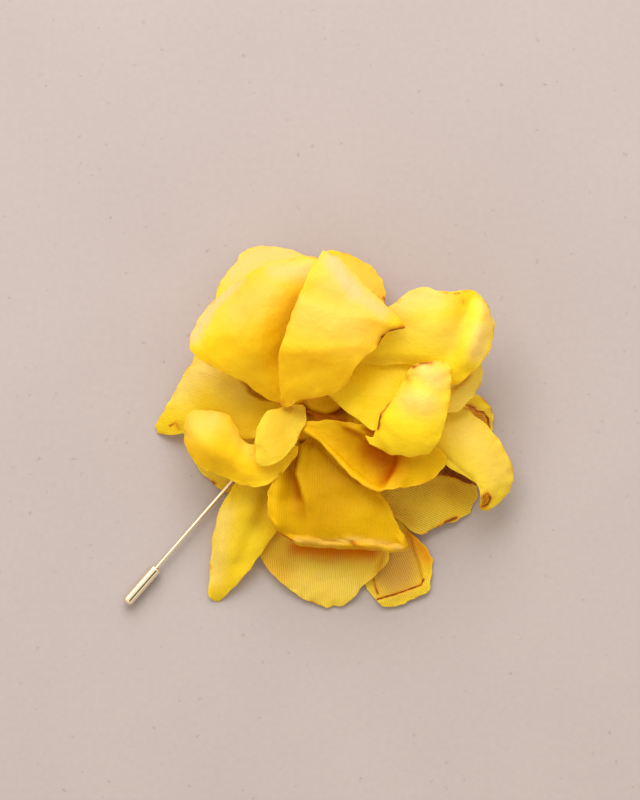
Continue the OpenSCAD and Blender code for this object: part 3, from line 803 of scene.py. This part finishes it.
centerTrough = {
    "root": (-3.2, 0),
    "heading": -17.7,
    "seed": 71,
    "sections": (
        (-0.2, -1, 1, 9, 0, 0),
        (-0.2, -1, 1, 12, 0, 0),
        (0.4, -1.2, 1.4, 14.5, 0, 0),
        (4, -2.2, 2.8, 14.8, 0, -0.5),
        (8.5, -4.6, 4, 14.4, 0, -1.6),
        (12.5, -7, 4.4, 13.2, 0, -3.2),
        (16, -8.4, 5, 12.3, 0, -4.6),
        (19.3, -9.2, 5.6, 12.3, 0, -4.9),
        (21.6, -8.8, 5.8, 13, 0, -4),
        (23, -7.9, 5.8, 15.6, 0, -1.4),
        (25, -7, 5.7, 16.6, 0, -0.4),
        (28, -5.6, 5.5, 16.4, 0, -0.3),
        (31.5, -3.1, 4.6, 15.8, 0, -0.4),
        (33.6, 0.4, 3, 15, 0, -0.3),
    ),
    "lips": (
        (5, 1.4, (18.7, -5.5), (18.7, -7), (18.5, -8.4), (18, -10), (17.3, -11.2), (16.1, -12.1),
         (15.2, -13.1)),
        (0.9, 1.6, (6.8, -0.1), (8.9, -1), (10.3, -1.7), (10.7, -2.9), (12.4, -4.1), (14.3, -5.6)),
    ),
    "rolls": (
        (1.5, 0.9, (-2, -1.5), (4, -7), (9, -12), (13, -14.6)),
    ),
    # Painted shade in the trough, deepest under the right cup's edge and beside the lips
    "paintedShades": (
        (4.2, 0.92, (12.4, -5), (14.4, -6.8), (16.4, -8)),
        (3.4, 0.3, (6, -2.6), (10, -5.4), (13.6, -10.4)),
        (1.2, 0.8, (11.2, -0.4), (13.4, -1.6)),
        (1.3, 0.6, (5, 1.6), (8, 1.2)),
    ),
    "shades": (
        (4.2, 1.0, (17.3, -11.2), (18, -10), (18.5, -8.4), (18.7, -7), (18.7, -5.5)),
        (1.8, 0.8, (15.2, -13.1), (16.1, -12.1), (17.3, -11.2)),
        (1.8, 0.75, (14.3, -5.6), (12.4, -4.1), (10.7, -2.9), (10.3, -1.7), (8.9, -1), (6.8, -0.1)),
    ),
    "gathers": (3, 0.15),
    "cells": (64, 44),
}
sewPetal("center_trough", centerTrough, "shaded_yellow")

centerUnder = {
    "root": (-3.9, -0.7),
    "heading": -41.5,
    "seed": 73,
    "sections": (
        (0, -2, 2, 6.6, 0, 0),
        (4, -4.5, 2.5, 7.6, 0, 0.2),
        (8, -5.5, 3, 8, 0, 0.3),
        (12, -4.5, 3, 8, 0, 0.3),
        (15, -2, 2, 7.6, 0, 0),
    ),
    "shades": (
        (2.2, 1.0, (-0.6, -2.9), (-5.2, -3)),
        (1.4, 0.8, (3, -8), (-0.4, -4.6)),
    ),
    "cells": (40, 30),
}
sewPetal("center_under", centerUnder, "shady")

bottomCenter = {
    "root": (0.8, -2.6),
    "heading": -93.2,
    "seed": 79,
    "sections": (
        (0, -2.8, 1.6, 9.6, 0, 0),
        (3.5, -6, 4.5, 10.4, 0, 0),
        (7, -8.2, 9, 11.2, 0, 0),
        (10, -10.9, 12.2, 11.8, 0, 0.2),
        (13.5, -11.8, 15.6, 12.4, 0, 0.3),
        (17, -11.7, 17.6, 12.8, 0, 0.5),
        (20, -10.9, 19.2, 12.8, 0, 0.8),
        (22.6, -8.6, 20.8, 12.2, 0, 0.8),
        (24.2, -6.2, 21.6, 11.4, 0, 0.5),
        (25.4, -3.5, 20, 10.6, 0, 0.2),
    ),
    "lips": (
        (2.2, 1.1, (-4.3, -4.5), (-4.6, -6.6), (-5, -8.9), (-5.4, -11), (-4.8, -12.4),
         (-4.1, -14.7), (-3.4, -17)),
        (1.4, 0.9, (6.9, -26.6), (9.8, -28), (13, -28.8), (17.5, -29.6)),
    ),
    "dents": (
        (2.4, 2.2, (-9, -10.5), (-10.6, -17), (-9.6, -22.5)),
        (1.9, -1.5, (-5.9, -7), (-6.8, -12), (-6.2, -16)),
        (2.4, -0.5, (1, -9), (3, -21)),
        (3.0, 0.6, (9, -14), (15, -22)),
    ),
    "rolls": (
        (1.9, 1.2, (-5, -26), (-1.6, -27)),
        (1.4, 1.1, (2.6, -27.4), (4.4, -27)),
        (2.1, 1.3, (7, -26.6), (11.4, -26.8)),
        (1.6, 1.1, (15, -27.4), (20, -28)),
        (1.0, 0.5, (-11, -22.5), (-8, -24.6), (-6, -26)),
        (0.8, 0.3, (14, -15), (20, -27)),
    ),
    # Painted shade in the hollow beside the left roll and, below, over the body under the petals
    # above
    "shades": (
        (0.9, 1.0, (-5.4, -11), (-5, -8.9), (-4.6, -6.6), (-4.3, -4.5)),
        (2.8, 1.0, (-3.8, -15.8), (-4.1, -14.7), (-4.8, -12.4), (-5.4, -11)),
        (3.6, 0.6, (-3, -19), (-4.1, -14.7), (-5.4, -11), (-4.3, -4.5)),
    ),
    "paintedShades": (
        (7.5, 0.34, (2, -8), (2.6, -14), (1, -20)),
        (0.9, 0.55, (-4, -3.4), (-0.4, -4.6), (5, -10.2), (9, -13)),
        (0.4, 0.9, (7.6, -26.6), (8.4, -27.2)),
    ),
    "paintedHighlights": (
        (0.8, 0.25, (-5, -26.4), (3, -27), (8, -26.2), (14, -27), (19, -28.2)),
    ),
    "burns": (
        (0.22, 0.8, (-10.6, -23.6), (-8, -25.2), (-6, -26.4)),
        (0.2, 0.7, (8.2, -27), (9.8, -28), (15, -29.2)),
    ),
    "gathers": (3, 0.3),
    "cells": (64, 64),
}
sewPetal("bottom_center", bottomCenter, "ribbed_shaded")

lowerSheer = {
    "root": (6.1, -4.9),
    "heading": -27.6,
    "seed": 83,
    "sections": (
        (0, -2.5, 2.5, 6.4, 0, 0),
        (6, -4.5, 4, 6.6, 0, 0.2),
        (12, -6.5, 4.5, 6.2, 0, 0.4),
        (17, -8.5, 6, 5.6, 0, 0.6),
        (21, -9.6, 7.4, 4.9, 0, 0.8),
        (24.3, -10.1, 8.3, 4.2, 0, 0.8),
        (26.5, -8.2, 8.4, 3.6, 0, 0.6),
        (28.8, -5, 7.8, 3, 0, 0.5),
        (31, -3.1, 6.8, 2.1, 0, 0.4),
        (32.8, 0, 4.4, 1.1, 0, 0),
    ),
    # Painted shadow: the hidden upper strip is dark brown where the gap under the lower right petal
    # lies in shade
    "paintedShadows": (
        (5, 1.5, (26.6, -11.6), (29, -11.4), (31.7, -11.9), (34, -13.1), (36.8, -13.6)),
    ),
    "creases": (
        (0.6, 0.4, (26.6, -11.8), (31.7, -12.2), (34, -13.4)),
    ),
    "cells": (60, 50),
    "paintedShades": (
        (3.2, 0.25, (24, -13), (30, -13.6)),
        (2.4, 0.3, (17, -20), (21, -22)),
    ),
    "burns": (
        (0.5, 0.95, (25.4, -24.8), (28.2, -23.3), (29.8, -22.2), (32, -21.2)),
    ),
    "bares": (
        (3.4, 0.3, (33, -15.6), (35, -14.6)),
    ),
}
sewPetal("lower_sheer", lowerSheer, "olive")

bottomSheer = {
    "root": (-0.1, -9.6),
    "heading": -85.9,
    "seed": 89,
    "sections": (
        (-3, -2.5, 1.8, 6, 0, 0),
        (0, -3, 3, 6.3, 0, 0),
        (6, -7, 8, 6, 0, 0.3),
        (12, -12, 13, 5.2, 0, 0.6),
        (17, -14.8, 15.4, 4.6, 0, 0.8),
        (20.5, -14.5, 15.4, 4.2, 0, 1),
        (23.3, -13.1, 14.5, 3.8, 0, 1),
        (26, -10.6, 11.5, 3.4, 0, 0.6),
        (28.4, -8, 8.4, 2.9, 0, 0.4),
        (30.4, -5.3, 6.6, 2.2, 0, 0.3),
        (32.5, -0.2, 3.4, 1.1, 0, 0),
    ),
    "folds": (
        (3, 0.6, (14, -6), (18, 6)),
        (2.5, -0.7, (22, -8), (24, 6)),
    ),
    "lips": (
        (2, 0.8, (14.6, -36), (14.2, -33.5), (15.4, -29.6)),
    ),
    "creases": (
        (0.9, -0.6, (9.6, -37.3), (11, -34.5)),
        (1.6, -0.4, (-8, -33), (0, -36), (7, -35)),
    ),
    # Painted shadow under the rim of the bottom centre petal, and painted shade at the left
    "paintedShades": (
        (2.4, 1.0, (-5, -28), (3, -29), (12, -29)),
        (1.2, 0.6, (-2, -30.4), (3, -31), (6, -30.2)),
        (5, 0.16, (-13, -26), (-11, -31)),
    ),
    "bares": (
        (5, 0.5, (-13, -26), (-10, -32)),
    ),
    "shades": (
        (1.6, 0.6, (14.6, -35), (14.8, -32.4), (15.6, -29.6)),
    ),
    "paintedHighlights": (
        (5, 0.2, (-3, -37), (8, -38)),
    ),
}
sewPetal("bottom_sheer", bottomSheer, "sheer")

bottomFold = {
    "root": (4.5, -6.8),
    "heading": -65.5,
    "seed": 97,
    "sections": (
        (0, -2, 2, 5, 0, 0),
        (7, -2.5, 3, 4, 0, 0),
        (14, -3.5, 5, 2.9, 0, 0),
        (19, -5, 6.8, 2.1, 0, 0),
        (23, -6.5, 7.9, 1.4, 0, 0),
        (27, -7, 9.7, 1.1, 0, 0),
        (31, -6.7, 10.1, 1.02, 0, 0),
        (34, -6, 8.5, 1.02, 0, 0),
        (36.3, -4.8, 7.3, 1.02, 0, 0),
        (37.7, -2.5, 5.5, 1.1, 0, 0),
    ),
    "lips": (
        (2.4, 1.2, (21.4, -25), (22.3, -28.6), (23.6, -32), (24.6, -36.4), (23.2, -37.5),
         (18.8, -38.9), (13.6, -40.4)),
    ),
    "paintedShades": (
        (2.2, 0.85, (21.6, -25), (24, -28), (25.6, -30.6)),
    ),
    "shades": (
        (0.6, 0.4, (13.6, -40.4), (18.8, -38.9), (23.2, -37.5), (24.6, -36.4), (23.6, -32),
         (22.3, -28.6)),
    ),
    "burns": (
        (0.24, 1.2, (24.6, -35.6), (24, -37), (18.8, -38.9), (13.8, -40.4)),
        (0.3, 1.0, (12.9, -35.4), (13.1, -37), (13.8, -39)),
    ),
    "cells": (84, 56),
    "bares": (
        (5.2, 1.0, (17.8, -30), (17.8, -33.6)),
    ),
    "swell": 0.05,
    "ruffle": 0.1,
}
sewPetal("bottom_fold", bottomFold, "gauze")

# Petals on the left

lowerLeft = {
    "root": (-10.8, -5.9),
    "heading": -111.7,
    "seed": 101,
    "sections": (
        (-1.4, -1.5, 1.5, 6, 0, 0),
        (0, -2.5, 2.5, 7.2, 0, 0),
        (5, -4.2, 4.5, 7.6, 0, 0.3),
        (9.4, -5.5, 6.5, 7.8, 0, 0.6),
        (13, -6, 8, 7.8, 0, 0.8),
        (17, -6.4, 7.8, 7.4, 0, 1),
        (20.5, -6.1, 6.9, 6.8, 0, 1),
        (24, -5.6, 6, 6, 0, 1),
        (28, -4.2, 5, 4.8, 0, 0.8),
        (31.5, -3.2, 3.7, 3.6, 0, 0.6),
        (34.5, -2.3, 2.6, 2.6, 0, 0.4),
        (36.5, -1.2, 1.7, 1.6, 0, 0.2),
        (37.3, -0.1, 1, 1.1, 0, 0),
    ),
    "folds": (
        (1.8, -0.9, (12, 3), (27, 2.6)),
    ),
    "creases": (
        (1.2, 0.5, (-21.1, -17), (-22.9, -31)),
    ),
    "paintedHighlights": (
        (2.4, 0.5, (-22, -20), (-23.4, -28), (-24.5, -35)),
    ),
    "paintedShades": (
        (2.4, 0.4, (-12, -14), (-14, -22)),
    ),
    "burns": (
        (0.3, 0.6, (-18.4, -36.1), (-18.6, -36.3)),
    ),
}
sewPetal("lower_left", lowerLeft, "woven")

leftCurl = {
    "root": (-4.8, -5.9),
    "heading": 169.7,
    "seed": 103,
    "sections": (
        (0, -1.5, 0.8, 12.9, 0, 0),
        (2.5, -1.5, 5, 13.3, 0, 0),
        (5, -1.5, 8.3, 14, 0, 0),
        (8.5, -0.5, 9.8, 14.2, 0, 0.8),
        (12, 0.2, 9.7, 14.8, 0, 1.3),
        (14.5, -2.3, 9, 15.2, 0, 2),
        (17, -5.2, 8.5, 16.2, 0, 2.6),
        (19.6, -6.1, 8, 17, 0, 3),
        (22.3, -5.7, 7, 16.8, 0, 2.8),
        (24.5, -5.5, 5.3, 15.8, 0, 2.2),
        (26, -5, 3, 14.4, 0, 1.2),
        (27, -3.2, 0.4, 13, 0, 0.2),
    ),
    "dents": (
        (2.4, 0.6, (-28, -1), (-24, -6), (-17, -9.6)),
        (1.4, 0.4, (-20.4, 1), (-18, -3.4), (-14, -6.6)),
    ),
    "paintedShades": (
        (2.2, 0.16, (-26, -6), (-20, -10)),
    ),
    "paintedHighlights": (
        (4, 0.3, (-28, 1), (-25, 2)),
        (2, 0.15, (-20, -1), (-15, -6)),
    ),
    "burns": (
        (0.3, 0.5, (-27.6, 4.1), (-25.3, 4.6), (-22.5, 3.9)),
    ),
}
sewPetal("left_curl", leftCurl, "yellow")

heartLeft = {
    "root": (-2.9, 3.4),
    "heading": -132.5,
    "seed": 107,
    "sections": (
        (-0.6, -2, -0.9, 5.6, 0, 0),
        (-0.6, -2, -0.8, 10, 0, 0),
        (-0.4, -2.2, -0.5, 13.4, 0, 0),
        (1.2, -3.8, 1.2, 14.4, 0, 0.2),
        (3.5, -5.3, 2, 16.2, 0, 0.4),
        (6.5, -6.8, 2.9, 17.4, 0, 0.6),
        (10, -6.2, 3.5, 18.2, 0, 0.8),
        (12.6, -4.6, 3.1, 18, 0, 0.6),
        (15, -2.3, 1.9, 17.2, 0, 0.3),
        (16.5, -0.7, 0.5, 16.4, 0, 0),
    ),
    "creases": (
        (0.8, 0.4, (-11.8, 3), (-13.2, -3.1), (-11.3, -7.3)),
    ),
    "paintedShades": (
        (2.6, 0.4, (-7, 4.4), (-4, 3)),
        (5.5, 0.3, (-8, 3), (-9.4, -2)),
    ),
}
sewPetal("heart_left", heartLeft, "pale")

heartDark = {
    "root": (-4.3, 3.9),
    "heading": 7.1,
    "seed": 109,
    "sections": (
        (0.4, -1.2, 1.2, 5.6, 0, 0),
        (0.4, -2.4, 1.4, 8.4, 0, 0),
        (1, -3.4, 1.9, 10.4, 0, 0),
        (4, -3.8, 2.3, 10.8, 0, 0),
        (6, -4, 2.6, 11, 0, 0.1),
        (8.6, -4.4, 1.4, 11.2, 0, 0),
        (11.4, -4.2, 0.2, 11.2, 0, 0),
    ),
    "lips": (
        (2.6, 1.2, (-3.6, 5.1), (-1.2, 3.8), (1.5, 3), (3.6, 3.7), (5.4, 4.9)),
    ),
    # Painted shade and painted shadow in the gaps of the heart, in the darkening and the burns
    # below
    "paintedShades": (
        (3.5, 0.2, (-3, 5), (4, 5)),
        (0.8, 1.0, (-4.4, 5.4), (-3.2, 4.6)),
        (1.1, 1.0, (-3, 3.2), (1, 2.3), (5.8, 1.5)),
    ),
    "shades": (
        (3.4, 1.0, (7, 6.4), (5.4, 4.9), (3.6, 3.7), (1.5, 3), (-1.2, 3.8), (-3.6, 5.1)),
    ),
    "burns": (
        (0.8, 0.75, (-0.4, 2.4), (1.6, 2), (5.4, 1.5)),
        (0.4, 0.9, (-4, 5.4), (-3.4, 4.8)),
        (0.3, 0.8, (-2.4, 3.6), (-1.4, 3.2), (-0.4, 2.8)),
    ),
    "cells": (44, 32),
}
sewPetal("heart_dark", heartDark, "shady")

leftBack = {
    "root": (-9, 6.2),
    "heading": -167.1,
    "seed": 113,
    "sections": (
        (-0.4, -2, 3, 5.9, 0, 0),
        (0.3, -2.8, 4, 7.5, 0, 0),
        (5, -7, 7.4, 9, 0, 0.5),
        (10, -11, 7, 10, 0, 1),
        (14, -14, 6, 10, 0, 1.5),
        (17, -14.2, 3.5, 9.2, 0, 1.8),
        (20, -11.3, 3, 7.8, 0, 1.6),
        (23, -7.9, 2.6, 6, 0, 1.2),
        (25.5, -5.2, 2.3, 4.4, 0, 0.8),
        (28, -2.4, 1.8, 2.6, 0, 0.4),
        (29.7, -0.6, 1, 1.1, 0, 0),
    ),
    "creases": (
        (0.9, 0.4, (-27.6, 13.2), (-18.3, 9.7)),
    ),
    "dents": (
        (1.8, -0.8, (-20, 9), (-12, 6.2)),
    ),
    "paintedHighlights": (
        (4, 0.6, (-33, 9), (-30, 12), (-26, 14)),
        (3, 0.3, (-26, 12), (-18, 8)),
    ),
    "shades": (
        (3, 0.85, (-17.6, 10), (-15.9, 7.4), (-13.2, 6), (-8.5, 5.6)),
    ),
    "paintedShades": (
        (3.5, 0.12, (-24, 2), (-14, 3)),
    ),
    "cells": (56, 50),
    "burns": (
        (0.35, 0.7, (-34.6, 0.2), (-33.4, 1), (-32.4, -0.6)),
    ),
}
sewPetal("left_back", leftBack, "woven")

leftSheer = {
    "root": (-16, -0.7),
    "heading": -130.9,
    "seed": 127,
    "sections": (
        (-4, -2, 2, 6.6, 0, 0),
        (0, -3, 2.8, 6.2, 0, 0),
        (5, -5, 3.2, 3.6, 0, 0),
        (9, -6, 3.4, 1.5, 0, 0),
        (11.2, -6.2, 4.4, 1.06, 0, 0),
        (13, -6.2, 6.4, 1.02, 0, 0),
        (14.3, -4.6, 6.3, 1.02, 0, 0),
        (15.1, -1, 4, 1.02, 0, 0),
    ),
    "burns": (
        (0.5, 0.8, (-25.5, -12.4), (-24.3, -13.3)),
    ),
    "swell": 0,
    "ruffle": 0.05,
    "cells": (30, 26),
}
sewPetal("left_sheer", leftSheer, "olive")
print("petals sewn")


# Felt pad under the petals, in the place of its plain solid

pad = {
    "bevel": 0.35,
    "fuzz": 0.06,
    "fuzzWave": 2.4,
    "turns": 72,
    "rings": 5,
    "ringStep": 1.9,
    "dark": (0.42, 0.25, 0.03, 1),
    "light": (0.72, 0.47, 0.07, 1),
    "fibres": 900,
}


def feltMaterial():
    material, tree = newMaterial("yellow_felt")
    fibre = addNoise(tree, pad["fibres"], 6, 1.2)
    ramp = tree.nodes.new("ShaderNodeValToRGB")
    ends = ramp.color_ramp.elements
    ends[0].position, ends[0].color = 0.3, pad["dark"]
    ends[1].position, ends[1].color = 0.7, pad["light"]
    colour = feed(tree, ramp, {"Fac": fibre})["Color"]
    bump = addNode(tree, "ShaderNodeBump", {
        "Strength": 0.6, "Distance": 0.0003, "Height": fibre})["Normal"]
    face = addNode(tree, "ShaderNodeBsdfPrincipled", {
        "Roughness": 0.95, "Sheen Weight": 0.08, "Specular IOR Level": 0.1,
        "Base Color": colour, "Normal": bump})[0]
    addNode(tree, "ShaderNodeOutputMaterial", {"Surface": face})
    return material


low, high = (np.array(corner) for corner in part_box("backing"))
middle = (low + high) / 2
bpy.ops.mesh.primitive_cylinder_add(vertices=pad["turns"], radius=(high[0] - low[0]) / 2,
                                    depth=high[2] - low[2], location=tuple(middle))
feltPad = bpy.context.object
feltPad.name = "felt_pad"
bpy.ops.object.transform_apply(location=True, rotation=True, scale=True)
bpy.ops.object.mode_set(mode="EDIT")
bpy.ops.mesh.select_all(action="DESELECT")
bpy.ops.object.mode_set(mode="OBJECT")
for face in feltPad.data.polygons:
    face.select = abs(face.normal.z) > 0.9
bpy.ops.object.mode_set(mode="EDIT")
bpy.ops.mesh.inset(thickness=pad["bevel"] * mm)
for ring in range(pad["rings"]):
    bpy.ops.mesh.inset(thickness=pad["ringStep"] * mm)
bpy.ops.object.mode_set(mode="OBJECT")
softEdge = feltPad.modifiers.new("softEdge", "BEVEL")
softEdge.width = pad["bevel"] * mm
softEdge.segments = 3
applyModifiers(feltPad)
for vertex in feltPad.data.vertices:
    spot = np.array([[vertex.co.x, vertex.co.y]]) / mm
    vertex.co.z += pad["fuzz"] * mm * float(ripples(spot, pad["fuzzWave"], 5)[0])
bpy.ops.object.shade_smooth_by_angle(angle=math.radians(50))
feltPad.data.materials.clear()
feltPad.data.materials.append(feltMaterial())
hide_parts("backing")
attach(feltPad, "flower")
print("pad laid")


# Pale gold of the pin and the clutch

goldLook = {
    "colour": (0.98, 0.86, 0.70),
    "shadeColour": (0.95, 0.80, 0.61),
    "roughness": (0.12, 0.21),
}
wireLook = {
    "colour": (0.94, 0.80, 0.64),
    "shadeColour": (0.88, 0.72, 0.54),
    "roughness": (0.26, 0.35),
}


def goldMaterial(name, look):
    material, tree = newMaterial(name)
    smear = addNoise(tree, pattern["smear"], 5)
    tint = mixColours(tree, smear, look["shadeColour"], look["colour"])
    smoothest, roughest = look["roughness"]
    worn = addNode(tree, "ShaderNodeMapRange", {
        "Value": smear, "To Min": smoothest, "To Max": roughest})["Result"]
    face = addNode(tree, "ShaderNodeBsdfPrincipled", {
        "Metallic": 1, "Base Color": tint, "Roughness": worn})[0]
    addNode(tree, "ShaderNodeOutputMaterial", {"Surface": face})
    return material


paleGold = {
    "clutch": goldMaterial("pale_gold", goldLook),
    "pin": goldMaterial("drawn_wire", wireLook),
}
for node, metal in paleGold.items():
    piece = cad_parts[node]
    if not piece.material_slots:
        piece.data.materials.append(metal)
    for place in piece.material_slots:
        place.material = metal
print("metal plated")


# Floor, light and camera

studio = {
    "floorSize": 1.6,
    "floorColour": (0.405, 0.352, 0.372),
    "speckles": 700,
    "clouds": 25,
    "flecks": 480,
    "fleckRange": (0.69, 0.76),
    "fleckColour": (0.13, 0.1, 0.09),
    "worldHigh": (1.0, 0.94, 0.72),
    "worldLow": (0.45, 0.38, 0.29),
    "worldStrength": 0.99,
    "fadeTop": 0.5,
    "paneWay": (-0.50, 0.44, 0.745),
    "paneEdge": (0.93, 0.97),
    "paneGlow": 2.2,
    "gapWay": (0.42, -0.37, 0.83),
    "gapEdge": (0.95, 0.98),
    "gapColour": (0.05, 0.04, 0.03),
    "windowPlace": (-0.12, 0.82, 0.75),
    "windowSize": 0.9,
    "windowEnergy": 15.6,
    "windowColour": (1.0, 0.985, 0.96),
    "cameraHeight": 3.0,
    "cameraOver": (0.3256, 6.2326),
    "sensor": 36,
    "viewHigh": 186.05,     # millimetres of the view plane from top to bottom
    "viewPlane": 12.0,      # its height above the floor
}


def floorMaterial():
    material, tree = newMaterial("pale_floor")
    speckle = addNoise(tree, studio["speckles"], 5)
    darker, lighter = (tuple(c * change for c in studio["floorColour"]) for change in (0.95, 1.05))
    fine = mixColours(tree, speckle, darker, lighter)
    broad = mixColours(tree, 0.1, fine, addNoise(tree, studio["clouds"], 3), "MULTIPLY")

    # A few dark flecks, sparse and small
    fewest, most = studio["fleckRange"]
    sparse = addNode(tree, "ShaderNodeMapRange", {
        "Value": addNoise(tree, studio["flecks"], 2), "From Min": fewest, "From Max": most,
        "To Max": 0.28})["Result"]
    flecked = mixColours(tree, sparse, broad, studio["fleckColour"])
    face = addNode(tree, "ShaderNodeBsdfPrincipled", {
        "Base Color": flecked, "Roughness": 0.9, "Specular IOR Level": 0.1})[0]
    addNode(tree, "ShaderNodeOutputMaterial", {"Surface": face})
    return material


bpy.ops.mesh.primitive_plane_add(size=studio["floorSize"], location=(0, 0, 0))
floor = bpy.context.object
floor.name = "floor"
floor.data.materials.append(floorMaterial())

# Bright overhead, dimmer towards the horizon, so that the metal has a dark line
world = bpy.data.worlds.new("soft_room")
bpy.context.scene.world = world
world.use_nodes = True
room = world.node_tree
room.nodes.clear()
sky = room.nodes.new("ShaderNodeTexCoord").outputs["Generated"]
upward = addNode(room, "ShaderNodeSeparateXYZ", {0: sky})["Z"]
rise = addNode(room, "ShaderNodeMapRange", {
    "Value": upward, "From Max": studio["fadeTop"]})["Result"]
fade = mixColours(room, rise, studio["worldLow"], studio["worldHigh"])


# A soft spot of the room, 1 at its middle and 0 all round
def spotOf(way, edge):
    facing = room.nodes.new("ShaderNodeVectorMath")
    facing.operation = "DOT_PRODUCT"
    facing = feed(room, facing, {0: sky, 1: way})["Value"]
    spot = room.nodes.new("ShaderNodeMapRange")
    spot.interpolation_type = "SMOOTHSTEP"
    return feed(room, spot, {"Value": facing, "From Min": edge[0], "From Max": edge[1]})["Result"]


# A small second window and a dark doorway, which give the metal its two lines
pane = tuple(studio["paneGlow"] * c for c in studio["worldHigh"])
lit = mixColours(room, spotOf(studio["paneWay"], studio["paneEdge"]), fade, pane)
shut = mixColours(room, spotOf(studio["gapWay"], studio["gapEdge"]), lit, studio["gapColour"])
background = addNode(room, "ShaderNodeBackground", {
    "Color": shut, "Strength": studio["worldStrength"]})[0]
addNode(room, "ShaderNodeOutputWorld", {"Surface": background})

# One big window beyond the flower's top
bpy.ops.object.light_add(type="AREA", location=studio["windowPlace"])
window = bpy.context.object
window.name = "window"
window.data.shape = "SQUARE"
window.data.size = studio["windowSize"]
window.data.energy = studio["windowEnergy"]
window.data.color = studio["windowColour"]
window.rotation_euler = (-Vector(studio["windowPlace"])).to_track_quat("-Z", "Y").to_euler()

over = [place * mm for place in studio["cameraOver"]]
bpy.ops.object.camera_add(
    location=(*over, studio["cameraHeight"] + studio["viewPlane"] * mm), rotation=(0, 0, 0))
camera = bpy.context.object
camera.name = "camera"
camera.data.sensor_width = studio["sensor"]
camera.data.lens = studio["sensor"] * studio["cameraHeight"] / (studio["viewHigh"] * mm)
camera.data.clip_start = 0.1
camera.data.clip_end = 20
bpy.context.scene.camera = camera
bpy.context.scene.view_settings.view_transform = "Standard"
print("studio lit")
